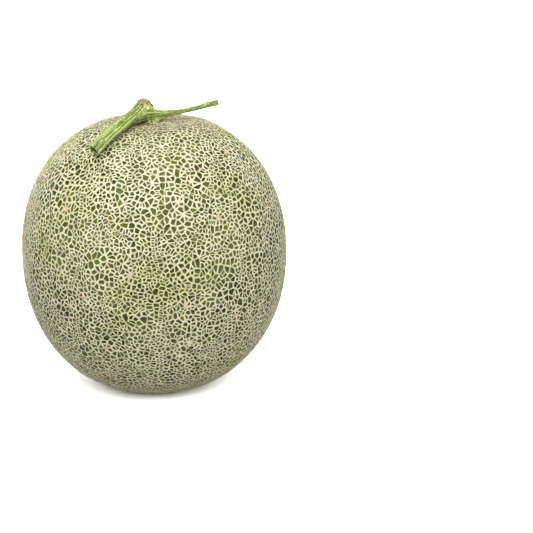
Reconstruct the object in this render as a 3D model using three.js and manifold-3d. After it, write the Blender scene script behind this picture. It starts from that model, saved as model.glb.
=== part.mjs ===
// A whole netted cantaloupe melon, standing on its blossom end, with the T-shaped piece of vine that it was
// cut with. Millimetres, +Z up. The origin is the middle of the flat spot that the fruit rests on. The thick
// arm of the vine points towards -X and -Y, and the thin arm towards +X.
import * as THREE from "three";
import { ConvexHull } from "three/addons/math/ConvexHull.js";
import { mergeVertices } from "three/addons/utils/BufferGeometryUtils.js";
import Module from "manifold-3d";

const wasm = await Module();
wasm.setup();

// The fruit's own outline, without its net. Heights here are measured from the fruit's middle.
const fruit = {
  girthRadius: 75,
  halfHeight: 80.3,
  squareness: 2.2, // 2 gives an ellipse, and more is fuller at the shoulders
  lobes: 10, // one for each vein tract, hardly felt by hand
  lobeRise: 0.35,
  flatSpotRadius: 14,
  hollowDepth: 4.2, // the stem end is sunk in a little
  hollowFloorRadius: 9.6,
  hollowRimRadius: 34,
};
// How far the flat spot lies below the fruit's middle.
const spotShare = (fruit.flatSpotRadius / fruit.girthRadius) ** fruit.squareness;
const restDepth = fruit.halfHeight * (1 - spotShare) ** (1 / fruit.squareness);

// The raised net of cork ridges. Its meshes are about four times as wide as on the real fruit.
const net = {
  cells: 760,
  unevenness: 0.4, // how far a cell's middle strays from an even layout, as a share of the cell spacing
  ridgeRise: 0.9,
  ridgeHalfWidth: 1.3,
  shortestRidge: 0.7,
  flatSpotNeighbours: 16,
  hollowNeighbours: 11,
  seed: 20,
};
const cellSpacing = Math.sqrt((4 * Math.PI) / net.cells); // on a ball of radius 1

// The piece of vine. Its points are X, Y and the height above the top of the fruit.
const vine = {
  thickArm: {
    route: [
      [-4.8, 4, 3.7],
      [-6.8, -2.5, 3],
      [-9.2, -13, 1.7],
      [-11.9, -25.2, 0.4],
      [-15.8, -32.8, -2],
      [-20, -37.2, -5],
      [-24.2, -41.3, -8.7],
      [-28, -44.5, -12.2],
    ],
    radii: [4.3, 4.5, 3.9, 3.5, 3.3, 3.25, 3.35, 3.6],
    ribs: 5,
    ribDepth: 0.08,
    sides: 30,
    steps: 24,
  },
  thinArm: {
    route: [
      [-3.8, -0.6, 1.2],
      [0.1, 0, -0.3],
      [7.2, 2, -0.5],
      [15.5, 5, 0],
      [23.8, 7.8, 1.3],
      [31.1, 10.2, 3.1],
      [36.8, 12.2, 4],
    ],
    radii: [3.6, 3.0, 2.0, 1.5, 1.4, 1.7, 1.85],
    ribs: 5,
    ribDepth: 0.08,
    sides: 20,
    steps: 26,
  },
  fruitStalk: {
    route: [
      [-3.4, -0.4, 1.6],
      [-1.4, -0.1, -0.6],
      [-1.1, 0, -2.5],
    ],
    radii: [5, 5.4, 6.4],
    ribs: 5,
    ribDepth: 0.07,
    sides: 30,
    steps: 8,
    flareRadius: 8,
    flareRise: 1.8,
  },
  // What fills the fork under the thick arm, in front of the stalk, and runs on into the thin arm.
  forkWeb: {
    route: [
      [-11, -21.5, 0.6],
      [-8.4, -15.8, 0.2],
      [-5.9, -11, 0.2],
      [-3.5, -7.4, 0.1],
      [-0.7, -4.6, -0.2],
      [2.3, -2.3, -0.5],
      [6.2, 0.4, -0.9],
      [9.5, 2.6, -0.5],
    ],
    radii: [3, 3.2, 3.2, 3.1, 3, 2.7, 2.1, 1.5],
    ribs: 5,
    ribDepth: 0.06,
    sides: 20,
    steps: 12,
  },
  cutDishDepth: 1.2, // how far the pith has dried back into a cut end
  leafScar: { at: [-4.5, 2.6, 4.9], radii: [4.6, 4.2, 3.6], lump: 0.14 },
  budScar: { at: [-2.9, -3.6, 4.1], radius: 1.7, rise: 1.1 },
  tendrilStub: {
    route: [
      [-1.4, 2.4, 1.4],
      [0.2, 2.3, 2.6],
      [1.3, 2, 3.5],
    ],
    radii: [1.5, 1.0, 0.6],
    ribs: 3,
    ribDepth: 0.1,
    sides: 9,
    steps: 4,
  },
};
const jointGap = 0.3; // air between the stalk's foot and the floor of the hollow
const floorSag = 0.3; // the floor is one flat facet, so it lies this far under the curve of the skin

// A stream of numbers from 0 to 1 that is the same on every run.
function seededDraws(seed) {
  let state = seed;
  return () => {
    state = (state + 0x6d2b79f5) | 0;
    let mixed = Math.imul(state ^ (state >>> 15), 1 | state);
    mixed = (mixed + Math.imul(mixed ^ (mixed >>> 7), 61 | mixed)) ^ mixed;
    return ((mixed ^ (mixed >>> 14)) >>> 0) / 2 ** 32;
  };
}

// How far the skin is from the fruit's middle, along a unit direction, with the net raised on it by rise.
function skinRadius(direction, rise = 0) {
  const up = direction.z;
  const out = Math.hypot(direction.x, direction.y);
  const { girthRadius, halfHeight, squareness } = fruit;
  const shares = (Math.abs(up) / halfHeight) ** squareness + (out / girthRadius) ** squareness;
  const oval = shares ** (-1 / squareness);
  const around = Math.atan2(direction.y, direction.x);
  const lobed = oval + rise + fruit.lobeRise * out ** 2 * Math.cos(fruit.lobes * around);
  if (up < 0) return Math.min(lobed, restDepth / -up);
  const fromAxis = oval * out;
  const risen = THREE.MathUtils.smoothstep(fromAxis, fruit.hollowFloorRadius, fruit.hollowRimRadius);
  return lobed - fruit.hollowDepth * (1 - risen);
}

// The directions of the middles of the net's cells: one at each end of the fruit, a ring round each of those,
// and the rest on an evenly turning spiral, each pushed a little out of place.
function cellMiddles() {
  const middles = [];
  const polarRing = (end, edgeRadius, height, neighbours) => {
    const polar = 2 * Math.atan2(edgeRadius, height);
    middles.push(new THREE.Vector3(0, 0, end));
    for (let i = 0; i < neighbours; i++) {
      const around = (2 * Math.PI * (i + 0.5)) / neighbours;
      const middle = new THREE.Vector3().setFromSphericalCoords(1, polar, around);
      middles.push(new THREE.Vector3(middle.z, middle.x, end * middle.y));
    }
    return polar + 0.62 * cellSpacing;
  };
  const hollowHeight = fruit.halfHeight - fruit.hollowDepth;
  const topLimit = polarRing(1, fruit.hollowFloorRadius, hollowHeight, net.hollowNeighbours);
  const footLimit = polarRing(-1, fruit.flatSpotRadius, restDepth, net.flatSpotNeighbours);

  const draw = seededDraws(net.seed);
  const goldenAngle = Math.PI * (3 - Math.sqrt(5));
  for (let i = 0; i < net.cells; i++) {
    const up = 1 - (2 * i + 1) / net.cells;
    const out = Math.sqrt(1 - up * up);
    const stray = () => (2 * draw() - 1) * net.unevenness * cellSpacing;
    const middle = new THREE.Vector3(
      out * Math.cos(i * goldenAngle) + stray(),
      out * Math.sin(i * goldenAngle) + stray(),
      up + stray(),
    ).normalize();
    const polar = Math.acos(middle.z);
    if (polar > topLimit && Math.PI - polar > footLimit) middles.push(middle);
  }
  return middles;
}

// The net's cells as rings of junction directions, anticlockwise seen from outside. Three cells meet at a
// junction, which lies over the middle of the triangle between their middles. Junctions that almost touch
// become one.
function netCells(middles) {
  const hull = new ConvexHull().setFromPoints(middles);
  const order = new Map(middles.map((middle, i) => [middle, i]));
  const facesRound = middles.map(() => []);
  const groupOf = hull.faces.map((_, i) => i);
  const rootOf = (i) => (groupOf[i] === i ? i : rootOf(groupOf[i]));
  const faceOrder = new Map(hull.faces.map((face, i) => [face, i]));
  hull.faces.forEach((face, i) => {
    for (const edge of [face.getEdge(0), face.getEdge(1), face.getEdge(2)]) {
      facesRound[order.get(edge.head().point)].push(i);
      const neighbour = edge.twin.face;
      const ridgeLength = face.normal.distanceTo(neighbour.normal) * fruit.girthRadius;
      if (ridgeLength < net.shortestRidge) groupOf[rootOf(i)] = rootOf(faceOrder.get(neighbour));
    }
  });

  const junctions = hull.faces.map(() => new THREE.Vector3());
  hull.faces.forEach((face, i) => junctions[rootOf(i)].add(face.normal));
  junctions.forEach((junction) => junction.normalize());

  return middles.map((middle, i) => {
    const east = new THREE.Vector3(0, 1, 0).cross(middle).normalize();
    const north = middle.clone().cross(east);
    const turnOf = (face) => {
      const normal = hull.faces[face].normal;
      return Math.atan2(normal.dot(north), normal.dot(east));
    };
    const ring = facesRound[i].sort((a, b) => turnOf(a) - turnOf(b)).map(rootOf);
    const distinct = ring.filter((root, k) => root !== ring[(k + 1) % ring.length]);
    return distinct.map((root) => ({ root, direction: junctions[root] }));
  });
}

// The fruit with its net: a sharp-crested ridge along every cell edge, and skin inside every cell.
function nettedFruit() {
  const points = [];
  const triangles = [];
  const crestAt = new Map();
  const addPoint = (direction, rise) => {
    points.push(direction.clone().multiplyScalar(skinRadius(direction, rise)));
    return points.length - 1;
  };
  for (const ring of netCells(cellMiddles())) {
    const middle = new THREE.Vector3();
    ring.forEach(({ direction }) => middle.add(direction));
    middle.normalize();
    const inset = insetShare(middle, ring);
    const crest = ring.map(({ root, direction }) => {
      if (!crestAt.has(root)) crestAt.set(root, addPoint(direction, net.ridgeRise));
      return crestAt.get(root);
    });
    const foot = ring.map(({ direction }) => addPoint(middle.clone().lerp(direction, inset).normalize(), 0));
    ring.forEach((_, k) => {
      const next = (k + 1) % ring.length;
      triangles.push([crest[k], crest[next], foot[next]], [crest[k], foot[next], foot[k]]);
      if (k > 0 && next > 0) triangles.push([foot[0], foot[k], foot[next]]);
    });
  }
  return new THREE.BufferGeometry().setFromPoints(points).setIndex(triangles.flat());
}

// How much of the way from a cell's middle to its junctions the skin reaches before the ridge starts.
function insetShare(middle, ring) {
  const smallestSkinShare = 0.45;
  const reach = Math.min(
    ...ring.map(({ direction }, k) => {
      const next = ring[(k + 1) % ring.length].direction;
      const edge = new THREE.Line3(direction, next);
      return edge.closestPointToPoint(middle, true, new THREE.Vector3()).distanceTo(middle);
    }),
  );
  return Math.max(smallestSkinShare, 1 - net.ridgeHalfWidth / (reach * fruit.girthRadius));
}

// A closed limb along a route, ribbed lengthwise. A dished end is a cut, where the pith has dried back.
function ribbedLimb({ route, radii, ribs, ribDepth, sides, steps }, dishDepth = 0) {
  const curve = new THREE.CatmullRomCurve3(route.map((point) => new THREE.Vector3(...point)));
  const girth = new THREE.SplineCurve(radii.map((radius, i) => new THREE.Vector2(i, radius)));
  const frames = curve.computeFrenetFrames(steps, false);
  const points = [];
  const triangles = [];
  const addRing = (step, share, sunk) => {
    const middle = curve.getPoint(step / steps).addScaledVector(frames.tangents[step], -sunk);
    for (let side = 0; side < sides; side++) {
      const turn = (2 * Math.PI * side) / sides;
      const radius = share * girth.getPoint(step / steps).y * (1 + ribDepth * Math.cos(ribs * turn));
      points.push(
        middle
          .clone()
          .addScaledVector(frames.normals[step], radius * Math.cos(turn))
          .addScaledVector(frames.binormals[step], radius * Math.sin(turn)),
      );
    }
  };
  for (let step = 0; step <= steps; step++) addRing(step, 1, 0);
  const rimShare = 0.68;
  const pithShare = 0.5;
  addRing(steps, rimShare, 0);
  addRing(steps, pithShare, dishDepth);
  const ringCount = steps + 3;
  for (let ring = 0; ring + 1 < ringCount; ring++) {
    for (let side = 0; side < sides; side++) {
      const here = ring * sides + side;
      const beside = ring * sides + ((side + 1) % sides);
      triangles.push([here, beside, beside + sides], [here, beside + sides, here + sides]);
    }
  }
  points.push(curve.getPoint(0), curve.getPoint(1).addScaledVector(frames.tangents[steps], -dishDepth));
  const startMiddle = points.length - 2;
  const endMiddle = points.length - 1;
  const lastRing = (ringCount - 1) * sides;
  for (let side = 0; side < sides; side++) {
    const beside = (side + 1) % sides;
    triangles.push([startMiddle, beside, side], [endMiddle, lastRing + side, lastRing + beside]);
  }
  return new THREE.BufferGeometry().setFromPoints(points).setIndex(triangles.flat());
}

// The rough cork where the leaf broke off: a rounded lump with a knobbly face.
function leafScar({ at, radii, lump }) {
  const knob = new THREE.IcosahedronGeometry(1, 4);
  const position = knob.getAttribute("position");
  for (let i = 0; i < position.count; i++) {
    const point = new THREE.Vector3().fromBufferAttribute(position, i);
    const knobbly = Math.sin(5.1 * point.x + 1) * Math.sin(4.3 * point.y + 2) * Math.sin(6.2 * point.z);
    position.setXYZ(i, ...point.multiplyScalar(1 + lump * knobbly).toArray());
  }
  return knob.scale(...radii).translate(...at);
}

// The ring left by a bud, facing forwards and a little up.
function budScar({ at, radius, rise }) {
  const outline = [
    [0, -rise],
    [radius, -rise],
    [radius, 0.3 * rise],
    [0.75 * radius, 0.6 * rise],
    [0.45 * radius, 0.1 * rise],
    [0, 0.1 * rise],
  ].map(([out, along]) => new THREE.Vector2(out, along));
  const facing = new THREE.Vector3(0.4, -0.8, 0.5).normalize();
  const turned = new THREE.Quaternion().setFromUnitVectors(new THREE.Vector3(0, 1, 0), facing);
  return new THREE.LatheGeometry(outline, 14).applyQuaternion(turned).translate(...at);
}

// The stalk's foot spreads out on the floor of the hollow.
function stalkFoot({ flareRadius, flareRise, radii }) {
  const floor = jointGap - fruit.hollowDepth - floorSag;
  const top = radii.at(-1);
  const outline = [
    [0, 0],
    [flareRadius, 0],
    [flareRadius, 0.2 * flareRise],
    [0.5 * (flareRadius + top), 0.45 * flareRise],
    [top, flareRise],
    [0, flareRise],
  ].map(([out, up]) => new THREE.Vector2(out, up));
  return new THREE.LatheGeometry(outline, 30).rotateX(Math.PI / 2).translate(0, 0, floor);
}

function solidOf(geometry) {
  const bare = geometry.clone();
  bare.deleteAttribute("normal");
  bare.deleteAttribute("uv");
  const merged = mergeVertices(bare, 1e-3);
  return new wasm.Manifold(
    new wasm.Mesh({
      numProp: 3,
      vertProperties: merged.getAttribute("position").array,
      triVerts: new Uint32Array(merged.index.array),
    }),
  );
}

// One geometry of several that grew together.
function grownTogether(geometries) {
  const { vertProperties, triVerts } = geometries
    .map(solidOf)
    .reduce((whole, piece) => whole.add(piece))
    .getMesh();
  return new THREE.BufferGeometry()
    .setAttribute("position", new THREE.BufferAttribute(vertProperties, 3))
    .setIndex(new THREE.BufferAttribute(triVerts, 1));
}

function namedMesh(name, geometry, color, roughness) {
  geometry.computeVertexNormals();
  const mesh = new THREE.Mesh(geometry, new THREE.MeshStandardMaterial({ color, roughness, metalness: 0 }));
  mesh.name = name;
  return mesh;
}

const melon = namedMesh("melon", nettedFruit(), 0xb4b48c, 0.75);
melon.position.z = restDepth;

const stem = namedMesh(
  "vine_stem",
  grownTogether([
    ribbedLimb(vine.thickArm, vine.cutDishDepth),
    ribbedLimb(vine.thinArm, vine.cutDishDepth / 2),
    ribbedLimb(vine.fruitStalk),
    ribbedLimb(vine.forkWeb),
    stalkFoot(vine.fruitStalk),
    leafScar(vine.leafScar),
    budScar(vine.budScar),
    ribbedLimb(vine.tendrilStub),
  ]),
  0x86a84c,
  0.6,
);
stem.position.z = restDepth + fruit.halfHeight;

const melonWithStem = new THREE.Group();
melonWithStem.add(melon, stem);

export default melonWithStem;
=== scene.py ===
import math
import bpy
import numpy as np
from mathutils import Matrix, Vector, kdtree, noise
from mathutils.geometry import delaunay_2d_cdt


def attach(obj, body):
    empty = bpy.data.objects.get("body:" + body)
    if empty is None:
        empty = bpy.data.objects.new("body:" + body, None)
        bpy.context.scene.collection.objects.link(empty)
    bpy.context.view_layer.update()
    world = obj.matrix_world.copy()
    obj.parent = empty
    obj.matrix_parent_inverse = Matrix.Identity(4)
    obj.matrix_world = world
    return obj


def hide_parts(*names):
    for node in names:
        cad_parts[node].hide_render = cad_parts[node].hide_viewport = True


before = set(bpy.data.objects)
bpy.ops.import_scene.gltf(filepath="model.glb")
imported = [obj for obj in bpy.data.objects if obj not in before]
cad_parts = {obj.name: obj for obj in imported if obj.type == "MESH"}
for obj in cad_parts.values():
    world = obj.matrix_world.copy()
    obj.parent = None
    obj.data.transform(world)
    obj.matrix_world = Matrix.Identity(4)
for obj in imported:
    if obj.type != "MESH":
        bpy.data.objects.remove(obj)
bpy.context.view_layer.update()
mm = 0.001

# helpers for shapes

def unit(vectors):
    return vectors / np.linalg.norm(vectors, axis=-1, keepdims=True)


def smoothRise(value, low, high):
    share = np.clip((value - low) / (high - low), 0, 1)
    return share * share * (3 - 2 * share)


def softNoise(points, size, shift=0.0):  # -1 to 1, with patches about as wide as size
    return np.array([noise.noise(Vector(p) / size + Vector((shift, 7.3, -shift))) for p in points])


def treeOf(points):  # finds the nearest of the points
    tree = kdtree.KDTree(len(points))
    for i, point in enumerate(points):
        tree.insert(point, i)
    tree.balance()
    return tree


def newObject(name, mesh):
    thing = bpy.data.objects.new(name, mesh)
    bpy.context.scene.collection.objects.link(thing)
    return thing


def meshFrom(name, points, faces):  # points in mm
    mesh = bpy.data.meshes.new(name)
    mesh.from_pydata((points * mm).tolist(), [], faces)
    mesh.update()
    return mesh


def readAll(items, name, kind=float, each=1):  # one value, or a row of them, for each item
    values = np.empty(len(items) * each, kind)
    items.foreach_get(name, values)
    return values.reshape(-1, each) if each > 1 else values


def pointValues(mesh, values):  # named numbers for each point, which its material reads
    for name, numbers in values.items():
        layer = mesh.attributes.new(name, "FLOAT", "POINT")
        layer.data.foreach_set("value", np.asarray(numbers, np.float32))


# helpers for shader nodes

def screenColour(red, green, blue):  # from 0 to 255, as a picture on a screen has them
    def light(value):
        value = value / 255
        return value / 12.92 if value < 0.04 else ((value + 0.055) / 1.055) ** 2.4
    return (light(red), light(green), light(blue), 1)


def addNode(tree, kind, **settings):
    node = tree.nodes.new(kind)
    for name, value in settings.items():
        setattr(node, name, value)
    return node


def feed(tree, socket, source):  # a link from a socket, or else a plain value
    if isinstance(source, bpy.types.NodeSocket):
        tree.links.new(source, socket)
    else:
        socket.default_value = source


def mixTints(tree, share, first, second):
    mix = addNode(tree, "ShaderNodeMix", data_type="RGBA")
    feed(tree, mix.inputs[0], share)
    feed(tree, mix.inputs[6], first)
    feed(tree, mix.inputs[7], second)
    return mix.outputs[2]


def reckon(tree, how, first, second=0.0):
    step = addNode(tree, "ShaderNodeMath", operation=how)
    feed(tree, step.inputs[0], first)
    feed(tree, step.inputs[1], second)
    return step.outputs[0]


def times(tree, first, second):
    return reckon(tree, "MULTIPLY", first, second)


def ease(tree, value, low, high, start=0.0, end=1.0):
    curve = addNode(tree, "ShaderNodeMapRange", interpolation_type="SMOOTHSTEP")
    for socket, source in zip(curve.inputs[:5], (value, low, high, start, end)):
        feed(tree, socket, source)
    return curve.outputs[0]


def layered(tree, base, layers):  # each layer has its mask, how much of it shows, and its colour
    colour = base
    for mask, most, tint in layers:
        share = mask if most == 1 else times(tree, mask, most)
        colour = mixTints(tree, share, colour, tint)
    return colour


def newEffect(name, inputs, outputs):  # a node group with named sockets
    group = bpy.data.node_groups.new(name, "ShaderNodeTree")
    for label, value in inputs.items():
        kind = "NodeSocketVector" if value is None else "NodeSocketFloat"
        socket = group.interface.new_socket(label, in_out="INPUT", socket_type=kind)
        if value is not None:
            socket.default_value = value
    for label in outputs:
        group.interface.new_socket(label, in_out="OUTPUT", socket_type="NodeSocketFloat")
    given = group.nodes.new("NodeGroupInput").outputs
    return group, given, group.nodes.new("NodeGroupOutput").inputs


def useEffect(tree, group, **inputs):
    node = addNode(tree, "ShaderNodeGroup", node_tree=group)
    for name, source in inputs.items():
        feed(tree, node.inputs[name], source)
    return node.outputs


def makePatches():  # soft blotches, 0 to 1; lower limits make more of them
    inputs = {"Place": None, "PerMetre": 30.0, "Shift": 0.0, "Low": 0.4, "High": 0.6}
    group, given, result = newEffect("softPatches", inputs, ["Mask"])
    cloud = addNode(group, "ShaderNodeTexNoise", noise_dimensions="4D")
    cloud.inputs["Detail"].default_value = 3
    for label, socket in (("Place", "Vector"), ("PerMetre", "Scale"), ("Shift", "W")):
        group.links.new(given[label], cloud.inputs[socket])
    mask = ease(group, cloud.outputs["Fac"], given["Low"], given["High"])
    group.links.new(mask, result["Mask"])
    return group


def makeGrain():  # the height of a rough dry surface, coarse crumbs with finer ones on them
    inputs = {"Place": None, "PerMetre": 1500.0}
    group, given, result = newEffect("dryGrain", inputs, ["Height", "Pits"])
    crumbs = addNode(group, "ShaderNodeTexNoise")
    crumbs.inputs["Detail"].default_value = 4
    crumbs.inputs["Roughness"].default_value = 0.65
    pits = addNode(group, "ShaderNodeTexVoronoi")
    for texture in (crumbs, pits):
        group.links.new(given["Place"], texture.inputs["Vector"])
        group.links.new(given["PerMetre"], texture.inputs["Scale"])
    dip = ease(group, pits.outputs["Distance"], 0.05, 0.4)
    group.links.new(times(group, crumbs.outputs["Fac"], dip), result["Height"])
    group.links.new(dip, result["Pits"])
    return group


softPatches = makePatches()
dryGrain = makeGrain()


def newMaterial(name, finish):  # with its tints, and ways to place patches and grain on it
    material = bpy.data.materials.new(name)
    material.use_nodes = True
    tree = material.node_tree
    place = addNode(tree, "ShaderNodeTexCoord").outputs["Object"]

    def patches(perMetre, shift, low, high):
        return useEffect(tree, softPatches, Place=place, PerMetre=perMetre,
                         Shift=shift, Low=low, High=high)["Mask"]

    tint = {key: screenColour(*value) for key, value in finish.items() if isinstance(value, tuple)}
    grain = useEffect(tree, dryGrain, Place=place, PerMetre=finish["grainPerMetre"])
    return material, tint, patches, grain


def pointValue(tree, name):
    return addNode(tree, "ShaderNodeAttribute", attribute_name=name).outputs["Fac"]


def finishSurface(tree, finish, colour, grain, cork, low, high):  # rougher from low to high cork
    roughness = ease(tree, cork, low, high, finish["skinRoughness"], finish["corkRoughness"])
    height = times(tree, grain["Height"], ease(tree, cork, low, high, finish["skinBump"], 1.0))
    surface = tree.nodes["Principled BSDF"]
    tree.links.new(colour, surface.inputs["Base Color"])
    tree.links.new(roughness, surface.inputs["Roughness"])
    surface.inputs["Specular IOR Level"].default_value = finish["specular"]
    bump = addNode(tree, "ShaderNodeBump")
    bump.inputs["Distance"].default_value = finish["bumpDepth"]
    bump.inputs["Strength"].default_value = finish["bumpStrength"]
    tree.links.new(height, bump.inputs["Height"])
    tree.links.new(bump.outputs["Normal"], surface.inputs["Normal"])


# camera, lights and floor

studio = {
    "elevation": 16.0,          # degrees that the camera looks down by
    "lens": 100.0,
    "distance": 850.4,          # mm, from the middle of the picture
    "aimRight": 64.14,          # mm from the fruit's middle to the middle of the picture
    "aimDown": 8.61,
    "fruitMiddle": 79.38,       # mm over the floor
    "skyStrength": 0.38,        # as light on the fruit; the room itself shows as white
    # wide soft lights: where each comes from, its strength, and how many degrees wide it is
    "lights": {
        "overheadLight": ((-0.2, -0.1, 1.2), 1.6, 30),
        "frontLight": ((0.17, -1.0, 0.78), 2.2, 38),
        "backLight": ((-0.4, 1.0, 0.35), 0.45, 60),
    },
    "floorReach": 6.0,          # m, to each side
    "floorTint": 3.2,           # as the camera sees it, where it burns out to white
    "floorBounce": 0.46,        # as the fruit sees it
    "floorRoughness": 0.9,
    "floorSpecular": 0.1,
}


def buildCamera():
    tilt = math.radians(studio["elevation"])
    look = Vector((0, math.cos(tilt), -math.sin(tilt)))
    up = Vector((0, math.sin(tilt), math.cos(tilt)))
    aim = Vector((studio["aimRight"], 0, studio["fruitMiddle"])) - studio["aimDown"] * up
    camera = newObject("camera", bpy.data.cameras.new("camera"))
    camera.data.lens = studio["lens"]
    camera.data.clip_start, camera.data.clip_end = 0.01, 20
    camera.location = (aim - look * studio["distance"]) * mm
    camera.rotation_euler = look.to_track_quat("-Z", "Y").to_euler()
    bpy.context.scene.camera = camera


def buildRoom():
    world = bpy.data.worlds.new("paleRoom")
    world.use_nodes = True
    tree = world.node_tree
    sky = tree.nodes["Background"]
    backdrop = addNode(tree, "ShaderNodeBackground")
    for background in (sky, backdrop):
        background.inputs["Color"].default_value = (1, 1, 1, 1)
    sky.inputs["Strength"].default_value = studio["skyStrength"]
    choice = addNode(tree, "ShaderNodeMixShader")
    ray = addNode(tree, "ShaderNodeLightPath")
    tree.links.new(ray.outputs["Is Camera Ray"], choice.inputs[0])
    tree.links.new(sky.outputs[0], choice.inputs[1])
    tree.links.new(backdrop.outputs[0], choice.inputs[2])
    tree.links.new(choice.outputs[0], tree.nodes["World Output"].inputs["Surface"])
    bpy.context.scene.world = world
    bpy.context.scene.view_settings.view_transform = "Standard"

    for name, (place, strength, spread) in studio["lights"].items():
        lamp = bpy.data.lights.new(name, "SUN")
        lamp.energy, lamp.angle = strength, math.radians(spread)
        light = newObject(name, lamp)
        light.location = place
        light.rotation_euler = (-Vector(place)).to_track_quat("-Z", "Y").to_euler()


def buildFloor():
    reach = studio["floorReach"] / mm
    corners = reach * np.array([(-1, -1, 0), (1, -1, 0), (1, 1, 0), (-1, 1, 0)])
    floor = newObject("floor", meshFrom("floor", corners, [(0, 1, 2, 3)]))
    paint = bpy.data.materials.new("floorPaper")
    paint.use_nodes = True
    tree = paint.node_tree
    surface = tree.nodes["Principled BSDF"]
    seen = addNode(tree, "ShaderNodeLightPath").outputs["Is Camera Ray"]
    greys = [(studio[name],) * 3 + (1,) for name in ("floorBounce", "floorTint")]
    tree.links.new(mixTints(tree, seen, *greys), surface.inputs["Base Color"])
    surface.inputs["Roughness"].default_value = studio["floorRoughness"]
    surface.inputs["Specular IOR Level"].default_value = studio["floorSpecular"]
    floor.data.materials.append(paint)


buildCamera()
buildRoom()
buildFloor()
print("studio ready")

# the fruit's netted rind

melonShape = {                  # lengths in mm
    "girthRadius": 75.0,
    "halfHeight": 80.3,
    "squareness": 2.2,          # 2 gives an oval, and more gives fuller shoulders
    "lobes": 10,
    "lobeRise": 0.35,
    "flatSpotRadius": 14.0,
    "flatSpotBlend": 0.8,       # how softly the round side turns into the flat spot
    "hollowDepth": 4.2,
    "hollowFloorRadius": 9.6,
    "hollowRimRadius": 34.0,
    "seed": 31,
    "plainMeshes": 11700,       # the ones that lie between the stars
    "unevenness": 0.6,
    "gapShare": 0.08,           # meshes left out, where the ones round them grew wider
    "companionShare": 0.42,     # meshes that have a very small one beside them
    "companionReach": (1.05, 1.6),
    "coarserLeft": 0.5,         # how much wider the meshes are on the left side
    "coarserRight": 0.5,        # and near the right edge
    "closestMeshes": 1.0,
    "shortestRidge": 0.34,
    "pulls": ((14.0, 1.4), (5.5, 0.8)),  # patch sizes, and how far they draw the net along
    "stray": 0.3,               # how far each junction is off its even place
    "thinnest": 0.08,           # a corner's share of its mesh, under which the mesh folds over
    "stars": 130,               # where several ridges run together
    "starSides": ([5, 6, 7, 8], [0.25, 0.35, 0.28, 0.12]),  # and how often each number comes
    "starReach": (1.8, 2.6),
    "starApart": 7.0,
    "starFromLadder": 3.6,      # at least this far, from middle to middle
    "starFromScar": 4.5,
    "meshFromStar": 3.7,
    "meshFromStarsMeshes": 1.5,
    "meshFromLadder": 1.6,
    "starWidth": 2.2,
    "starRise": 0.12,
    "starThickening": 0.55,
    "ladders": {                # rows of narrow meshes, on each of the ten vein tracts
        "first": 23,            # degrees round the fruit
        "perTract": 3,
        "lowest": (-52, -34),
        "apart": (30, 36),
        "long": (9, 24),
        "lean": 0.12,
        "sway": 1.3,
        "rung": 1.3,
        "halfWidth": 1.95,
    },
    "ridgeHalfWidth": 0.53,
    "ridgeWidths": (0.8, 1.2),  # inside a family and round it
    "widthStray": (0.82, 1.18),
    "families": 1500,           # groups of meshes that wider ridges part
    "ridgeRise": (0.2, 0.37),
    "highestRise": 0.6,
    "scarRadius": 6.5,          # of the blossom scar, under the fruit
    "scarDepth": 0.35,
    "scarRings": (0.12, 2.4),   # how high they stand, and how close they are
}
spotShare = (melonShape["flatSpotRadius"] / melonShape["girthRadius"]) ** melonShape["squareness"]
restDepth = melonShape["halfHeight"] * (1 - spotShare) ** (1 / melonShape["squareness"])
ballRadius = 77.0               # turns an angle on the fruit into millimetres, near enough


def skinRadius(directions, rise):  # mm from the fruit's middle, with the net raised on it by rise
    m = melonShape
    up = directions[:, 2]
    out = np.hypot(directions[:, 0], directions[:, 1])
    power = m["squareness"]
    oval = (np.abs(up) / m["halfHeight"]) ** power + (out / m["girthRadius"]) ** power
    oval = oval ** (-1 / power)
    around = np.arctan2(directions[:, 1], directions[:, 0])
    radius = oval + rise + m["lobeRise"] * out ** 2 * np.cos(m["lobes"] * around)
    hollow = 1 - smoothRise(oval * out, m["hollowFloorRadius"], m["hollowRimRadius"])
    radius = radius - np.where(up > 0, m["hollowDepth"] * hollow, 0)
    # below, the crests end on the table, and the skin between them stays just over it
    table = (restDepth - m["highestRise"] + rise) / np.maximum(-up, 0.2)
    soft = m["flatSpotBlend"]
    blend = np.clip(0.5 + 0.5 * (table - radius) / soft, 0, 1)
    eased = table * (1 - blend) + radius * blend - soft * blend * (1 - blend)
    return np.where(up < -0.5, eased, radius)


def evenBall(count):
    i = np.arange(count) + 0.5
    up = 1 - 2 * i / count
    turn = i * math.pi * (3 - math.sqrt(5))
    out = np.sqrt(1 - up ** 2)
    return np.stack([out * np.cos(turn), out * np.sin(turn), up], 1)


def acrossFrom(directions):  # two directions along the skin for each one that points out of it
    pole = np.where(np.abs(directions[:, 2:3]) > 0.9, [[0.0, 1.0, 0.0]], [[0.0, 0.0, 1.0]])
    east = unit(np.cross(pole, directions))
    return east, np.cross(directions, east)


def nearEach(points, others, reach):  # which points have one of the others within reach, in mm
    tree = treeOf(others)
    return np.array([tree.find(p)[2] < reach / ballRadius for p in points])


def spreadOut(points, apart):  # drops each point that is too close to one kept before it
    tree = treeOf(points)
    kept = np.ones(len(points), bool)
    for i, point in enumerate(points):
        if kept[i]:
            for _, j, _ in tree.find_range(point, apart / ballRadius):
                if j > i:
                    kept[j] = False
    return points[kept]


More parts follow.
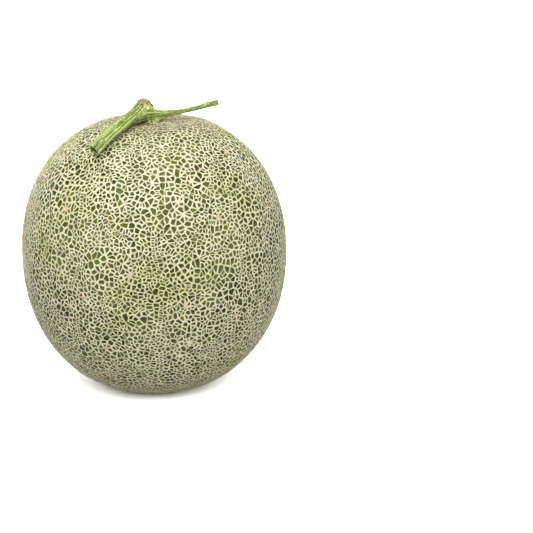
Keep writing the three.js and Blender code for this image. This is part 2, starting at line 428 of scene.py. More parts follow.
def ladderSeeds(rng):
    ladder = melonShape["ladders"]
    lobes = melonShape["lobes"]
    rung = ladder["rung"]
    rungs, sides = [], []

    def place(height, aside, around):
        lift = math.asin(np.clip(height / ballRadius, -0.98, 0.98))
        turn = around + aside / (ballRadius * math.cos(lift))
        out = math.cos(lift)
        return [out * math.cos(turn), out * math.sin(turn), math.sin(lift)]

    for tract in range(lobes):
        around = math.radians(ladder["first"] + 360 / lobes * tract)
        starts = rng.uniform(*ladder["lowest"])
        starts = starts + np.arange(ladder["perTract"]) * rng.uniform(*ladder["apart"])
        for start in starts:
            long = rng.uniform(*ladder["long"])
            lean = rng.uniform(-ladder["lean"], ladder["lean"])
            phase = rng.uniform(0, 6.28)

            def off(height):  # how far the ladder is to the side at this height
                return lean * (height - start) + ladder["sway"] * math.sin(height / 7 + phase)

            for level in np.arange(start, start + long, rung):
                height = level + rng.uniform(-0.15, 0.15)
                rungs.append(place(height, rng.uniform(-0.1, 0.1) + off(height), around))
            for level in np.arange(start - 1, start + long + 1, 1.75 * rung):
                for side in (-ladder["halfWidth"], ladder["halfWidth"]):
                    height = level + rng.uniform(-0.4, 0.4)
                    aside = side + rng.uniform(-0.15, 0.2)
                    sides.append(place(height, aside + off(height), around))
    return np.array(rungs), np.array(sides)


def starSeeds(rng, centres):
    numbers, odds = melonShape["starSides"]
    east, north = acrossFrom(centres)
    seeds = []
    for middle, e, n in zip(centres, east, north):
        count = rng.choice(numbers, p=odds)
        reach = rng.uniform(*melonShape["starReach"]) * (0.82 + 0.03 * count) / ballRadius
        turns = (np.arange(count) + rng.uniform(-0.16, 0.16, count)) * 2 * math.pi / count
        turns = turns + rng.uniform(0, 6.28)
        for turn in turns:
            aside = math.cos(turn) * e + math.sin(turn) * n
            seeds.append(math.cos(reach) * middle + math.sin(reach) * aside)
    return np.array(seeds)


def scarSeeds(rng):  # inside the blossom scar, where the skin stays plain, and round it
    edge = melonShape["scarRadius"]

    def ring(radius, number, stray):
        turns = (np.arange(number) + rng.uniform(-stray, stray, number)) * 2 * math.pi / number
        angle = radius / restDepth
        return np.stack([math.sin(angle) * np.cos(turns), math.sin(angle) * np.sin(turns),
                         np.full(number, -math.cos(angle))], 1)

    inner, outer = ring(edge - 0.9, 22, 0.0), ring(edge + 0.9, 22, 0.0)
    middle = [[[0.0, 0.0, -1.0]], ring(1.6, 6, 0.2), ring(3.2, 12, 0.2)]
    return np.concatenate([inner, *middle]), outer


def pastScar(directions, margin):  # which directions are outside the blossom scar
    return directions[:, 2] > -math.cos((melonShape["scarRadius"] + margin) / restDepth)


def seedsBetween(rng):
    m = melonShape
    spacing = math.sqrt(4 * math.pi / m["plainMeshes"])
    between = evenBall(m["plainMeshes"])
    between = unit(between + rng.uniform(-1, 1, between.shape) * m["unevenness"] * spacing)
    wider = softNoise(between, 0.22, 3.1) + m["coarserLeft"] * np.clip(-between[:, 0], 0, 1)
    wider += m["coarserRight"] * smoothRise(between[:, 0], 0.45, 0.85)
    gaps = rng.uniform(0, 1, len(between)) < m["gapShare"] * (1 + 2.4 * wider)
    between, wider = between[~gaps], wider[~gaps]
    paired = rng.uniform(0, 1, len(between)) < m["companionShare"] * (1 - 2.0 * wider)
    beside = between[paired]
    east, north = acrossFrom(beside)
    turn = rng.uniform(0, 6.28, (len(beside), 1))
    reach = rng.uniform(*m["companionReach"], (len(beside), 1)) / ballRadius
    beside = unit(beside + reach * (np.cos(turn) * east + np.sin(turn) * north))
    return np.concatenate([between, beside])


def allSeeds(rng):  # a point in each mesh, how many of them are plain, and the stars' middles
    m = melonShape
    plain, scarRim = scarSeeds(rng)
    rungs, sides = ladderSeeds(rng)
    ladders = np.concatenate([rungs, sides])
    shake = 0.42 * math.sqrt(12.6 / m["stars"])
    centres = unit(evenBall(m["stars"]) + rng.uniform(-shake, shake, (m["stars"], 3)))
    clear = ~nearEach(centres, ladders, m["starFromLadder"]) & pastScar(centres, 3)
    clear &= ~nearEach(centres, scarRim, m["starFromScar"])
    centres = spreadOut(centres[clear], m["starApart"])
    stars = starSeeds(rng, centres)

    between = seedsBetween(rng)
    fixed = np.concatenate([plain, scarRim, ladders])
    keep = ~nearEach(between, fixed, m["meshFromLadder"]) & pastScar(between, 1.8)
    keep &= ~nearEach(between, centres, m["meshFromStar"])
    keep &= ~nearEach(between, stars, m["meshFromStarsMeshes"])
    between = spreadOut(between[keep], m["closestMeshes"])
    stars = stars[~nearEach(stars, fixed, 1.3)]
    return unit(np.concatenate([fixed, stars, between])), len(plain), centres


def ridgesOf(ring):  # its sides, each by the numbers of its two ends, the lower one first
    return [(min(p, q), max(p, q)) for p, q in zip(ring, [*ring[1:], ring[0]])]


def trianglesRound(seeds):  # the triangles whose middles are the net's junctions
    pole = int(np.argmin(seeds[:, 2]))
    others = np.delete(np.arange(len(seeds)), pole)
    flat = seeds[others, :2] / (1 + seeds[others, 2:3])
    found = delaunay_2d_cdt([Vector(p) for p in flat], [], [], 0, 1e-9, True)
    origin = [items[0] for items in found[3]]
    faces = [[others[origin[v]] for v in face] for face in found[2]]
    # the outermost sides close round the lowest seed
    count = {}
    for face in faces:
        for side in ridgesOf(face):
            count[side] = count.get(side, 0) + 1
    closing = [[*side, pole] for side, often in count.items() if often == 1]
    return np.array(faces + closing)


def pulled(directions):  # mm; the skin grew unevenly, which drew many meshes out into slits
    calm = smoothRise(directions[:, 2:3], -0.99, -0.93)
    noise.seed_set(melonShape["seed"])  # without it noise_vector differs from run to run
    pull = np.zeros_like(directions)
    for size, reach in melonShape["pulls"]:
        wind = [noise.noise_vector(Vector(d) * ballRadius / size) for d in directions]
        pull += reach * np.array(wind)
    return pull * calm


def joinedJunctions(faces, junctions):  # the group of each triangle; very short ridges shrink away
    group = np.arange(len(faces))

    def rootOf(i):
        while group[i] != i:
            group[i] = group[group[i]]
            i = group[i]
        return i

    beside = {}
    for i, face in enumerate(faces):
        for side in ridgesOf(face):
            beside.setdefault(side, []).append(i)
    shortest = melonShape["shortestRidge"] / ballRadius
    for pair in beside.values():
        if len(pair) == 2:
            first, second = pair
            if np.linalg.norm(junctions[first] - junctions[second]) < shortest:
                group[rootOf(first)] = rootOf(second)
    return np.array([rootOf(i) for i in range(len(faces))])


def netRings(seeds, centres, rng):  # the junctions, how far each is from a star, and every ring
    faces = trianglesRound(seeds)
    a, b, c = (seeds[faces[:, k]] for k in range(3))
    junctions = unit(np.cross(b - a, c - a))
    junctions = junctions * np.sign((junctions * (a + b + c)).sum(1, keepdims=True))

    kept, number = np.unique(joinedJunctions(faces, junctions), return_inverse=True)
    middles = np.zeros((len(kept), 3))
    np.add.at(middles, number, junctions)
    middles = unit(middles)

    starTree = treeOf(centres)
    fromStar = np.array([starTree.find(p)[2] * ballRadius for p in middles])
    stray = rng.uniform(-melonShape["stray"], melonShape["stray"], middles.shape)
    stray[fromStar < 0.6] = 0

    around = [[] for _ in seeds]
    for i, face in enumerate(faces):
        for seed in face:
            around[seed].append(number[i])
    east, north = acrossFrom(seeds)
    rings = []
    for s, members in enumerate(around):
        members = list(dict.fromkeys(members))
        offsets = middles[members] - seeds[s]
        turns = np.arctan2(offsets @ north[s], offsets @ east[s])
        rings.append([members[k] for k in np.argsort(turns)])
    middles = movedApart(middles, rings, (stray + pulled(middles)) / ballRadius)
    return middles, fromStar, rings


def ringsBySides(rings):  # for each number of sides: it, the rings' numbers and their junctions
    groups = {}
    for number, ring in enumerate(rings):
        groups.setdefault(len(ring), []).append(number)
    return [(sides, numbers, np.array([rings[i] for i in numbers]))
            for sides, numbers in sorted(groups.items()) if sides > 2]


def movedApart(junctions, rings, moves):  # moved less far where a mesh would fold over
    groups = ringsBySides(rings)
    thinnest = melonShape["thinnest"]
    for _ in range(12):
        moved = unit(junctions + moves)
        folded = []
        for _, _, rows in groups:
            corners = moved[rows]
            spokes = corners - corners.mean(1, keepdims=True)
            turned = np.cross(spokes, np.roll(spokes, -1, axis=1))
            areas = (turned * corners).sum(2) * ballRadius ** 2
            folded.append(rows[areas.min(1) < thinnest * areas.mean(1)].ravel())
        moves[np.unique(np.concatenate(folded))] *= 0.6
    return moved


def insideRing(corners, halfWidth):  # where the sides meet, once each is moved inwards
    along = np.roll(corners, -1, axis=1) - corners
    along = along / np.maximum(np.linalg.norm(along, axis=2, keepdims=True), 1e-9)
    inward = np.stack([-along[..., 1], along[..., 0]], -1)
    middle = corners.mean(1, keepdims=True)
    reach = ((middle - corners) * inward).sum(2)
    share = np.minimum(1.0, 0.66 * reach.min(1) / halfWidth.max(1))[:, None]
    before = np.roll(along, 1, axis=1)
    inwardBefore = np.roll(inward, 1, axis=1)
    bend = before[..., 0] * along[..., 1] - before[..., 1] * along[..., 0]
    bend = np.where(np.abs(bend) < 0.12, 0.12, bend)
    result = corners * 0.5 + middle * 0.5   # for a mesh too narrow for any of the widths below
    done = np.zeros(len(corners), bool)
    for _ in range(7):  # narrower each time, for the meshes that don't fit yet
        width = halfWidth * share
        start = corners + inwardBefore * np.roll(width, 1, axis=1)[..., None]
        gap = corners + inward * width[..., None] - start
        step = (gap[..., 0] * along[..., 1] - gap[..., 1] * along[..., 0]) / bend
        inner = start + before * step[..., None]
        innerAlong = np.roll(inner, -1, axis=1) - inner
        good = ((innerAlong * along).sum(2) > 0.03).all(1)  # no side has turned round
        offset = np.linalg.norm(inner - corners, axis=2)
        good &= (offset < np.linalg.norm(middle - corners, axis=2) * 0.93).all(1)
        result[good & ~done] = inner[good & ~done]
        done |= good
        share = share * 0.82
    return result


def widerRidges(rings, seeds, families):
    tree = treeOf(families)
    family = [tree.find(seed)[1] for seed in seeds]
    found = {}
    for s, ring in enumerate(rings):
        for ridge in ridgesOf(ring):
            found.setdefault(ridge, set()).add(family[s])
    return {ridge for ridge, members in found.items() if len(members) > 1}


def crestRises(middles, starry, onNet, wide):
    m = melonShape
    onWide = np.zeros(len(middles))
    onWide[np.array(sorted(wide)).ravel()] = 1
    low, high = m["ridgeRise"]
    swell = softNoise(middles, 0.05, 1.7)
    rise = low + (high - low) * (0.3 + 0.9 * swell + 0.4 * onWide) + m["starRise"] * starry
    return np.where(onNet, np.clip(rise, low, m["highestRise"]), 0.0)


def feetInside(junctions, halfWidth, starry, plain):  # where a mesh's skin meets its ridges
    centre = unit(junctions.mean(1))
    east, north = acrossFrom(centre)
    offsets = (junctions - centre[:, None]) * ballRadius
    corners = np.stack([(offsets * way[:, None]).sum(2) for way in (east, north)], -1)
    inner = insideRing(corners, halfWidth)
    # rounds the corners
    inner = 0.86 * inner + 0.07 * (np.roll(inner, 1, axis=1) + np.roll(inner, -1, axis=1))
    if junctions.shape[1] > 4:  # the ridges thicken where they run together
        thicker = melonShape["starThickening"] * starry
        inner = inner + (inner - corners) * thicker[..., None]
    nearMiddle = (np.abs(inner).sum(2) < 0.25)[..., None]
    inner = np.where(nearMiddle, inner * 0.6 + corners * 0.4, inner)
    inner = np.where(plain[:, None, None], corners * 0.5, inner)
    across = inner[..., :1] * east[:, None] + inner[..., 1:] * north[:, None]
    directions = unit((centre[:, None] * ballRadius + across).reshape(-1, 3))
    return directions * skinRadius(directions, np.zeros(len(directions)))[:, None]


def netFaces(rows, start):  # the slopes of the ridges round each mesh, and the skin inside it
    faces = []
    for row, ring in enumerate(rows.tolist()):
        sides = len(ring)
        foot = [start + row * sides + k for k in range(sides)]
        for k in range(sides):
            after = (k + 1) % sides
            faces.append((ring[k], ring[after], foot[after], foot[k]))
        faces.append(tuple(foot))
    return faces


def dishBlossomScar(points, plain):  # a shallow dish with rings in it
    m = melonShape
    fromPole = np.hypot(points[:, 0], points[:, 1])
    rim = 1 - smoothRise(fromPole, m["scarRadius"] - 2.5, m["scarRadius"] - 0.4)
    high, close = m["scarRings"]
    dish = np.clip(m["scarDepth"] * rim + high * np.cos(fromPole * close), 0, 0.5)
    points[:, 2] += np.where(plain & (points[:, 2] < 0), dish, 0)


def boxUnwrap(mesh):  # each side of the fruit gets its own sixth of the map
    corners = readAll(mesh.loops, "vertex_index", int)
    places = readAll(mesh.vertices, "co", each=3)
    totals = readAll(mesh.polygons, "loop_total", int)
    low, high = places.min(0), places.max(0)
    middle, half = (low + high) / 2, (high - low).max() / 2 * 0.78
    face = np.repeat(np.arange(len(totals)), totals)
    centres = np.zeros((len(totals), 3))
    np.add.at(centres, face, places[corners])
    centres = centres / totals[:, None] - middle
    axis = np.abs(centres).argmax(1)
    tile = axis * 2 + (centres[np.arange(len(axis)), axis] > 0)
    loopAxis, loopTile = axis[face], tile[face]
    place = places[corners] - middle
    index = np.arange(len(corners))
    u, v = (np.clip(place[index, (loopAxis + k) % 3] / half / 2 + 0.5, 0.0, 1.0) * 0.98 + 0.01
            for k in (1, 2))
    uv = np.stack([(loopTile % 3 + u) / 3, (loopTile // 3 + v) / 2], 1)
    mesh.uv_layers.new(name="OFBake").data.foreach_set("uv", uv.reshape(-1))


def buildMelon():
    m = melonShape
    rng = np.random.default_rng(m["seed"])
    seeds, plainCount, centres = allSeeds(rng)
    middles, fromStar, rings = netRings(seeds, centres, rng)
    isPlain = np.arange(len(seeds)) < plainCount
    print("net has", len(rings), "meshes and", len(middles), "junctions")

    families = unit(evenBall(m["families"]) + rng.uniform(-1, 1, (m["families"], 3)) * 0.06)
    wide = widerRidges(rings, seeds, families)
    starry = np.exp(-(fromStar / m["starWidth"]) ** 2)
    onNet = np.zeros(len(middles), bool)
    for ring in rings[plainCount:]:
        onNet[ring] = True
    crests = middles * skinRadius(middles, crestRises(middles, starry, onNet, wide))[:, None]

    width = 1 + 0.34 * softNoise(middles, 0.035, 9.2) + 0.2 * softNoise(middles, 0.3, 4.4)
    width = m["ridgeHalfWidth"] * width
    thin, thick = m["ridgeWidths"]
    tones = rng.uniform(0, 1, len(rings))
    points, faces = [crests], []
    values = {"cork": [onNet.astype(float)], "star": [starry],
              "tone": [np.full(len(middles), 0.5)], "scar": [~onNet]}
    start = len(middles)
    for sides, cells, rows in ringsBySides(rings):
        halfWidth = 0.5 * (width[rows] + np.roll(width[rows], -1, axis=1))
        isWide = np.array([[ridge in wide for ridge in ridgesOf(rings[s])] for s in cells])
        stray = rng.uniform(*m["widthStray"], halfWidth.shape)
        halfWidth = halfWidth * np.where(isWide, thick, thin) * stray
        points.append(feetInside(middles[rows], halfWidth, starry[rows], isPlain[cells]))
        faces += netFaces(rows, start)
        values["cork"].append(np.zeros(rows.size))
        values["star"].append(starry[rows].reshape(-1) * 0.6)
        values["tone"].append(np.repeat(tones[cells], sides))
        values["scar"].append(np.repeat(isPlain[cells], sides))
        start += rows.size

    points = np.concatenate(points)
    values = {name: np.concatenate(parts) for name, parts in values.items()}
    dishBlossomScar(points, values["scar"].astype(bool))
    points[:, 2] += restDepth
    mesh = meshFrom("melonRind", points, faces)
    mesh.shade_smooth()
    pointValues(mesh, values)
    boxUnwrap(mesh)
    print("rind has", sum(len(f) - 2 for f in faces), "triangles")
    return newObject("melonRind", mesh)


melonRind = buildMelon()

rindFinish = {                  # colours as on a screen
    "darkGreen": (44, 55, 15),
    "olive": (98, 106, 32),
    "greyGreen": (92, 103, 60),
    "paleGreen": (134, 148, 92),
    "leafGreen": (86, 116, 30),
    "earthy": (92, 82, 38),
    "cream": (228, 225, 190),
    "limeCream": (214, 215, 160),
    "pinkBeige": (214, 199, 168),
    "starPink": (225, 204, 172),
    "dullBeige": (170, 160, 120),
    # painted shade on the lower slopes of the ridges
    "shadedRidgeFoot": (88, 80, 46),
    "vineShadowBrown": (64, 52, 26),   # painted shadow round the vine
    "scarTan": (160, 143, 106),
    "scarBrown": (96, 80, 48),
    "grainPerMetre": 1400.0,
    "bumpDepth": 0.00022,
    "bumpStrength": 0.8,
    "skinBump": 0.25,           # as a share of the cork's
    "skinRoughness": 0.42,
    "corkRoughness": 0.82,
    "specular": 0.2,
    "scarWaves": 3900.0,        # radians to the metre, for the rings on the blossom scar
}


def rindMaterial():
    material, tint, patches, grain = newMaterial("nettedRind", rindFinish)
    tree = material.node_tree
    cork, star, tone, scar = (pointValue(tree, name) for name in ("cork", "star", "tone", "scar"))

    place = addNode(tree, "ShaderNodeTexCoord").outputs["Object"]
    apart = addNode(tree, "ShaderNodeSeparateXYZ")
    tree.links.new(place, apart.inputs[0])
    right, back, up = apart.outputs
    outSquared = reckon(tree, "ADD", times(tree, right, right), times(tree, back, back))
    fromPole = reckon(tree, "SQRT", outSquared)
    # painted shadow of the vine and its stalk on the fruit near the pole: browner skin, duller net,
    # and ridge-foot shade reaching higher
    vineShadow = times(tree, ease(tree, fromPole, 0.05, 0.014), ease(tree, up, 0.1, 0.13))

    skin = layered(tree, tint["darkGreen"], [
        (patches(22.0, 2.0, 0.42, 0.62), 1, tint["olive"]),
        (patches(34.0, 5.0, 0.5, 0.68), 1, tint["greyGreen"]),
        (patches(26.0, 8.5, 0.6, 0.72), 1, tint["paleGreen"]),
        (ease(tree, tone, 0.55, 1.0), 0.55, tint["olive"]),
        (ease(tree, tone, 0.5, 0.0), 0.6, tint["darkGreen"]),
        (patches(70.0, 41.0, 0.56, 0.7), 0.5, tint["earthy"]),
        (ease(tree, tone, 0.84, 0.96), 0.6, tint["leafGreen"]),
        # painted shade: the skin turns darker green towards the right side
        (ease(tree, right, 0.04, 0.07), 0.75, tint["darkGreen"]),
        (patches(380.0, 1.0, 0.46, 0.68), 0.62, tint["greyGreen"]),
        (vineShadow, 0.7, tint["vineShadowBrown"])])

    pink = times(tree, ease(tree, star, 0.04, 0.5), patches(50.0, 17.0, 0.42, 0.6))
    net = layered(tree, tint["cream"], [
        (patches(30.0, 12.0, 0.49, 0.7), 1, tint["limeCream"]),
        (pink, 1, tint["starPink"]),
        (patches(75.0, 21.0, 0.55, 0.75), 0.4, tint["pinkBeige"]),
        (patches(360.0, 25.0, 0.47, 0.66), 0.62, tint["dullBeige"]),
        # painted shadow of the vine dulls the net near it
        (vineShadow, 0.35, tint["dullBeige"])])

    # painted shade at the foot of each ridge, up to a ragged line, and further up as painted shadow
    # near the vine
    ragged = reckon(tree, "ADD", cork, times(tree, patches(900.0, 30.0, 0.3, 0.7), 0.14))
    footShadeTop = reckon(tree, "ADD", times(tree, vineShadow, 0.5), 0.42)
    foot = mixTints(tree, vineShadow, tint["shadedRidgeFoot"], tint["vineShadowBrown"])
    net = mixTints(tree, ease(tree, ragged, 0.12, footShadeTop), foot, net)
    onNet = ease(tree, ragged, 0.1, 0.22)
    colour = mixTints(tree, onNet, skin, net)

    # wavy rings on the blossom scar, with a dark dot where the flower sat
    wavy = reckon(tree, "ADD", fromPole, times(tree, patches(240.0, 33.0, 0.3, 0.7), 0.0016))
    phase = times(tree, wavy, rindFinish["scarWaves"])
    rings = layered(tree, tint["scarBrown"], [
        (ease(tree, reckon(tree, "SINE", phase), -0.9, 0.7), 1, tint["scarTan"]),
        (grain["Height"], 0.5, tint["dullBeige"]),
        (ease(tree, fromPole, 0.0019, 0.0008), 1, tint["scarBrown"])])
    colour = mixTints(tree, scar, colour, rings)
    finishSurface(tree, rindFinish, colour, grain, onNet, 0.0, 1.0)
    return material


melonRind.data.materials.append(rindMaterial())
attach(melonRind, "root")
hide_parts("melon")
print("rind finished")

# the piece of vine

vineShape = {                   # mm; points are X, Y and the height over the top of the fruit
    "thickRoute": [(-4.6, 4, 3.7), (-6.2, -2.7, 2.8), (-8.7, -13.2, 1.5), (-11.9, -25.2, 0.4),
                   (-15.8, -32.8, -2), (-20, -37.2, -5), (-24.2, -41.3, -8.7), (-28, -44.5, -12.2)],
    "thickRadii": (4.1, 4.0, 3.5, 3.4, 3.3, 3.25, 3.35, 3.6),
    "thinRoute": [(-3.8, -0.6, 1.2), (0.1, 0, -0.3), (7.2, 2, -0.5), (15.5, 5, 0),
                  (23.8, 7.8, 1.3), (31.1, 10.2, 3.1), (36.8, 12.2, 4)],
    "thinRadii": (3.6, 3.0, 2.0, 1.5, 1.4, 1.7, 1.85),
    "stalkRoute": [(-4.2, -1.2, 1.4), (-2.2, -0.9, -0.8), (-1.0, -0.5, -2.6), (-0.6, -0.2, -4.1)],
    "stalkRadii": (5.0, 5.5, 6.2, 7.2),
    # fills the fork under the thick arm
    "webRoute": [(-11, -21.5, 0.6), (-8.4, -15.8, 0.1), (-5.9, -11, 0.1), (-3.5, -7.4, 0),
                 (-0.7, -4.6, -0.2), (2.3, -2.3, -0.5), (6.2, 0.4, -0.9), (9.5, 2.6, -0.5)],
    "webRadii": (2.9, 3.15, 3.15, 3.05, 2.95, 2.7, 2.1, 1.5),
    "tendrilRoute": [(-1.4, 2.4, 1.4), (-0.3, 2.3, 3.0), (0.9, 2, 4.6)],
    "tendrilRadii": (1.6, 1.2, 0.8),
    "voxel": 0.25,
    "node": (-3.6, -0.5, 1.6),  # where the limbs grew out of each other
    "nodeSize": (1.2, 1.6, 1.0),
    "nodeReach": (6, 12),
    # for each limb: ribs, how deep its grooves are, and the reach over which they start
    "ribbing": {"thick": (13, 1.0, 4, 10), "thin": (6, 0.5, 5, 10),
                "web": (10, 0.7, 0, 3), "stalk": (13, 0.3, 0.5, 2)},
    "limbBlend": 0.08,
    "ribHeight": 0.1,
    "grooveDepth": 0.34,
    "grooveWidth": 0.3,
    "streakHeight": 0.05,
    "streakWidth": 0.62,
    "dishDepth": 1.7,           # how far the pith has dried back into a cut end
    "knob": (-4.5, 2.6, 4.9),   # under the leaf scar
    "knobRadii": (4.3, 3.9, 3.4),
    "corkSize": (1.1, 1.15, 0.8),
    "corkReach": (4.2, 5.3),
    "budScar": (-2.9, -3.6, 4.1),
    "budFacing": (0.4, -0.8, 0.5),
    "seed": 12,
}


def smoothCurve(points, count):
    given = np.array(points, float)
    given = given.reshape(len(given), -1)
    first, last = 2 * given[0] - given[1], 2 * given[-1] - given[-2]
    padded = np.concatenate([[first], given, [last]])
    along = np.linspace(0, len(given) - 1, count)
    i = np.minimum(along.astype(int), len(given) - 2)
    f = (along - i)[:, None]
    p, q, r, t = (padded[i + k] for k in range(4))
    bend = (2 * p - 5 * q + 4 * r - t) * f ** 2 + (3 * q - p - 3 * r + t) * f ** 3
    return 0.5 * (2 * q + (r - p) * f + bend)


def limbAxis(route, radii, count=90):  # middles, radii, lengthwise and two sideways directions
    middles = smoothCurve(route, count)
    forward = unit(np.gradient(middles, axis=0))
    side = unit(np.cross(forward[0], (0.0, 0.0, 1.0)))
    sides = []
    for direction in forward:
        side = unit(side - direction * (side @ direction))
        sides.append(side)
    sides = np.array(sides)
    reach = np.concatenate([[0], np.cumsum(np.linalg.norm(np.diff(middles, axis=0), axis=1))])
    return {"middles": middles, "girth": smoothCurve(radii, count)[:, 0], "forward": forward,
            "side": sides, "over": np.cross(forward, sides), "reach": reach}


def tubeOf(axis, around=28):
    turn = (np.arange(around) * math.tau / around)[None, :, None]
    ring = np.cos(turn) * axis["side"][:, None] + np.sin(turn) * axis["over"][:, None]
    points = (axis["middles"][:, None] + ring * axis["girth"][:, None, None]).reshape(-1, 3)
    count = len(axis["middles"])
    faces = [tuple(range(around))[::-1], tuple(range((count - 1) * around, count * around))]
    for row in range(count - 1):
        for k in range(around):
            a, b = row * around + k, row * around + (k + 1) % around
            faces.append((a, b, b + around, a + around))
    return points, faces


def knobOf(middle, radii, around=32, rows=20):
    points = [(0, 0, -1), (0, 0, 1)]
    for row in range(1, rows):
        up = -math.cos(math.pi * row / rows)
        out = math.sin(math.pi * row / rows)
        points += [(out * math.cos(turn), out * math.sin(turn), up)
                   for turn in np.arange(around) * math.tau / around]
    faces = []
    for k in range(around):
        after = (k + 1) % around
        faces.append((0, 2 + after, 2 + k))
        last = 2 + (rows - 2) * around
        faces.append((1, last + k, last + after))
        for row in range(rows - 2):
            a, b = 2 + row * around + k, 2 + row * around + after
            faces.append((a, b, b + around, a + around))
    return np.array(points) * radii + middle, faces


def grownTogether(pieces, voxel):  # one skin round all the pieces
    points, faces = [], []
    start = 0
    for piecePoints, pieceFaces in pieces:
        points.append(piecePoints)
        faces += [tuple(start + i for i in face) for face in pieceFaces]
        start += len(piecePoints)
    mesh = meshFrom("vineDraft", np.concatenate(points), faces)
    draft = newObject("vineDraft", mesh)
    skin = draft.modifiers.new("skin", "REMESH")
    skin.mode = "VOXEL"
    skin.voxel_size = voxel * mm
    graph = bpy.context.evaluated_depsgraph_get()
    grown = bpy.data.meshes.new_from_object(draft.evaluated_get(graph))
    bpy.data.objects.remove(draft)
    bpy.data.meshes.remove(mesh)
    return grown


def soften(points, edges, share, rounds):
    a, b = edges[:, 0], edges[:, 1]
    count = np.bincount(edges.ravel(), minlength=len(points))[:, None]
    for _ in range(rounds):
        total = np.stack([np.bincount(a, points[b, k], len(points))
                          + np.bincount(b, points[a, k], len(points)) for k in range(3)], 1)
        points = points + share[:, None] * (total / count - points)
    return points


def alongLimb(points, axis, batch=4000):  # steps on the axis, how far out, turns, how far ahead
    best = np.empty(len(points), int)
    for start in range(0, len(points), batch):
        part = points[start:start + batch]
        best[start:start + batch] = ((part[:, None] - axis["middles"]) ** 2).sum(2).argmin(1)
    offset = points - axis["middles"][best]
    ahead, across, over = ((offset * axis[way][best]).sum(1) for way in ("forward", "side", "over"))
    return best, np.hypot(across, over), np.arctan2(over, across), ahead


def vineGrooves(turn, reach, radius, ribs, width, rng):  # how deep in a groove, and the rib's tone
    places = (np.arange(ribs) + rng.uniform(-0.25, 0.25, ribs)) * 2 * math.pi / ribs
    depths = rng.uniform(0.3, 1.0, ribs)
    tones = rng.permutation(np.linspace(-1.0, 1.0, ribs))
    twisted = turn + 0.012 * reach
    groove = np.zeros(len(turn))
    for place, depth in zip(places, depths):
        apart = (twisted - place + math.pi) % math.tau - math.pi
        groove = np.maximum(groove, depth * np.exp(-(apart * radius / width) ** 2))
    sector = np.searchsorted(np.sort(places), twisted % math.tau) % ribs
    return groove, tones[sector]


def fineStreaks(turn, reach, girth, shift):  # narrow lines along a limb, -1 to 1
    perTurn = girth / vineShape["streakWidth"]
    values = np.empty(len(turn))
    for i, (angle, along) in enumerate(zip(turn, reach)):
        place = Vector((math.cos(angle) * perTurn + shift, math.sin(angle) * perTurn, along * 0.08))
        values[i] = noise.noise(place) + 0.6 * noise.noise(place * 2.2)
    return np.clip(1.5 * values, -1, 1)


def limbDetail(points, axis, name, shift, rng):  # the points' shares of a limb, moves and tones
    v = vineShape
    ribs, depth, low, high = v["ribbing"][name]
    step, out, turn, ahead = alongLimb(points, axis)
    girth, reach = axis["girth"][step], axis["reach"][step]
    share = np.hypot(out, np.maximum(np.abs(ahead) - 0.4, 0)) / girth
    if name == "stalk":  # the strands that run from arm to arm lie over the stalk
        share = share + 0.22
    width = v["grooveWidth"] * (0.6 + 0.4 * depth)
    groove, tone = vineGrooves(turn, reach, girth, ribs, width, rng)
    close = share < 1.8
    streak = np.zeros(len(points))
    streak[close] = fineStreaks(turn[close], reach[close], float(np.median(axis["girth"])), shift)
    fade = smoothRise(reach, low, high) * smoothRise(share, 0.6, 0.85)
    outward = np.cos(turn)[:, None] * axis["side"][step]
    outward += np.sin(turn)[:, None] * axis["over"][step]
    ribbed = (v["ribHeight"] * (1 - groove) - v["grooveDepth"] * groove) * depth * fade
    move = outward * (ribbed + v["streakHeight"] * streak * depth)[:, None]
    cut = np.zeros(len(points))
    if name in ("thick", "thin"):
        end = axis["reach"][-1]
        atEnd = smoothRise(reach + ahead, end - 0.9, end - 0.2)
        cut = atEnd * (1 - smoothRise(share, 0.5, 0.8))
        ragged = softNoise(points, 1.1, 4.0) * 0.35 * depth
        move += axis["forward"][step] * (atEnd * ragged - cut * v["dishDepth"] * depth)[:, None]
    return share, np.column_stack([move, groove * fade, 0.85 * streak + 0.35 * tone * fade, cut])


def meltedDetail(points, axes, rng):  # every limb's own detail, melted together where limbs meet
    found = [limbDetail(points, axes[limb], limb, 11.0 * i, rng)
             for i, limb in enumerate(vineShape["ribbing"])]
    shares = np.array([share for share, _ in found])
    weights = np.exp(-(shares - shares.min(0)) / vineShape["limbBlend"])
    weights /= weights.sum(0)
    detail = sum(weight[:, None] * values for weight, (_, values) in zip(weights, found))
    return points + detail[:, :3], detail[:, 3:].T


def addLeafScar(points, knobAt):  # rough cork over the top of the node, where the leaf broke off
    middle = knobAt + np.array([0.0, -0.4, 2.4])
    fromMiddle = np.linalg.norm((points - middle) / vineShape["corkSize"], axis=1)
    ragged = 0.9 * softNoise(points, 2.6, 2.0)
    corky = 1 - smoothRise(fromMiddle + ragged, *vineShape["corkReach"])
    crumbs = 0.34 * softNoise(points, 1.5, 5.0) + 0.2 * softNoise(points, 0.7, 8.0)
    outward = unit(points - (knobAt - np.array([0, 0, 1.5])))
    return points + outward * (corky * crumbs)[:, None], corky


def addBudScar(points, budAt):  # a low ring with a dip in it
    facing = unit(np.array(vineShape["budFacing"]))
    offset = points - budAt
    depthIn = offset @ facing
    fromBud = np.linalg.norm(offset - depthIn[:, None] * facing, axis=1)
    close = (np.abs(depthIn) < 2.2) & (fromBud < 3)
    ring = 0.36 * np.exp(-((fromBud - 1.35) / 0.4) ** 2) - 0.55 * np.exp(-(fromBud / 0.85) ** 2)
    bud = np.where(close, np.exp(-((fromBud - 1.2) / 0.7) ** 2), 0)
    return points + facing * np.where(close, ring, 0)[:, None], bud


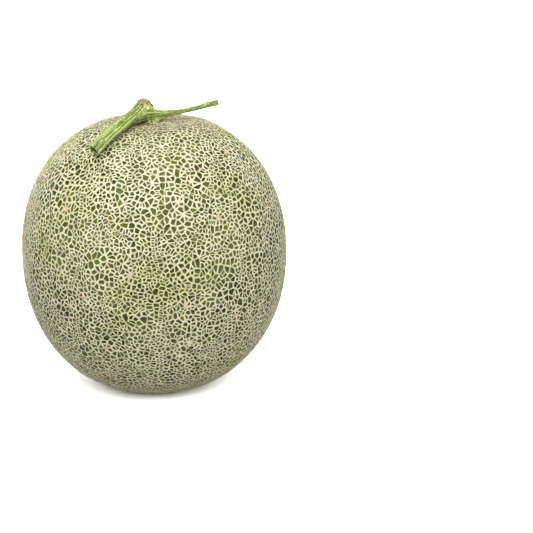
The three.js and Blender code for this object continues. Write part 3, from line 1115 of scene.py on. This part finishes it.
def buildVine():
    v = vineShape
    rng = np.random.default_rng(v["seed"])
    lift = np.array([0, 0, restDepth + melonShape["halfHeight"]])
    axes = {}
    for limb in ("thick", "thin", "stalk", "web", "tendril"):
        axes[limb] = limbAxis(np.array(v[limb + "Route"]) + lift, v[limb + "Radii"])
    knobAt = np.array(v["knob"]) + lift
    pieces = [tubeOf(axis) for axis in axes.values()] + [knobOf(knobAt, v["knobRadii"])]
    mesh = grownTogether(pieces, v["voxel"])
    points = readAll(mesh.vertices, "co", each=3) / mm
    edges = readAll(mesh.edges, "vertices", int, 2)
    print("vine has", len(points), "points")

    node = np.array(v["node"]) + lift
    fromNode = np.linalg.norm((points - node) / v["nodeSize"], axis=1)
    nearNode = 1 - smoothRise(fromNode, *v["nodeReach"])
    points = soften(points, edges, 0.5 * nearNode, 45)
    points = soften(points, edges, np.full(len(points), 0.5), 4)
    points, (groove, streak, cut) = meltedDetail(points, axes, rng)
    points, corky = addLeafScar(points, knobAt)
    points, bud = addBudScar(points, np.array(v["budScar"]) + lift)
    fromTip = np.linalg.norm(points - axes["tendril"]["middles"][-1], axis=1)

    mesh.vertices.foreach_set("co", (points * mm).ravel())
    mesh.shade_smooth()
    pointValues(mesh, {"groove": groove, "streak": streak, "cork": corky, "cut": cut,
                       "bud": bud * (1 - corky), "dry": 1 - smoothRise(fromTip, 1.1, 2.3)})
    mesh.update()
    return newObject("vineStem", mesh)


vineStem = buildVine()

vineFinish = {                  # colours as on a screen
    # painted shade deep in the grooves along the vine
    "groove": (56, 72, 18),
    "deepGreen": (88, 108, 32),
    "midGreen": (138, 158, 66),
    "brightGreen": (190, 208, 118),
    "speck": (230, 228, 172),
    "tanCork": (196, 180, 134),
    "brownCork": (126, 112, 64),
    "dryBrown": (78, 64, 34),
    # painted shade in the dished cut ends
    "cutGreen": (52, 74, 14),
    "grainPerMetre": 1900.0,
    "bumpDepth": 0.0003,
    "bumpStrength": 0.8,
    "skinBump": 0.22,           # as a share of the cork's
    "skinRoughness": 0.45,
    "corkRoughness": 0.88,
    "specular": 0.4,
}


def vineMaterial():
    material, tint, patches, grain = newMaterial("greenVine", vineFinish)
    tree = material.node_tree
    groove, streak, cork = (pointValue(tree, name) for name in ("groove", "streak", "cork"))
    bud, dry, cut = (pointValue(tree, name) for name in ("bud", "dry", "cut"))

    specks = times(tree, patches(1000.0, 15.0, 0.53, 0.61), patches(240.0, 19.0, 0.36, 0.55))
    rough = layered(tree, tint["brownCork"], [
        (patches(520.0, 6.0, 0.35, 0.65), 1, tint["tanCork"]),
        (ease(tree, grain["Pits"], 1.0, 0.2), 1, tint["dryBrown"])])
    colour = layered(tree, tint["deepGreen"], [
        (ease(tree, streak, -0.45, 0.1), 1, tint["midGreen"]),
        (ease(tree, streak, 0.08, 0.5), 1, tint["brightGreen"]),
        (patches(150.0, 3.0, 0.45, 0.7), 0.35, tint["brightGreen"]),
        (patches(110.0, 9.0, 0.5, 0.75), 0.4, tint["deepGreen"]),
        # painted shade in the grooves
        (ease(tree, groove, 0.3, 0.95), 1, tint["groove"]),
        (specks, 0.85, tint["speck"]),
        (ease(tree, cork, 0.25, 0.75), 1, rough),
        (times(tree, bud, patches(900.0, 22.0, 0.38, 0.52)), 1, tint["speck"]),
        (dry, 1, tint["dryBrown"]),
        # painted shade in the hollow of each cut end
        (ease(tree, cut, 0.1, 0.75), 1, tint["cutGreen"])])
    finishSurface(tree, vineFinish, colour, grain, cork, 0.1, 0.8)
    return material


vineStem.data.materials.append(vineMaterial())
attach(vineStem, "root")
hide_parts("vine_stem")
print("vine finished")
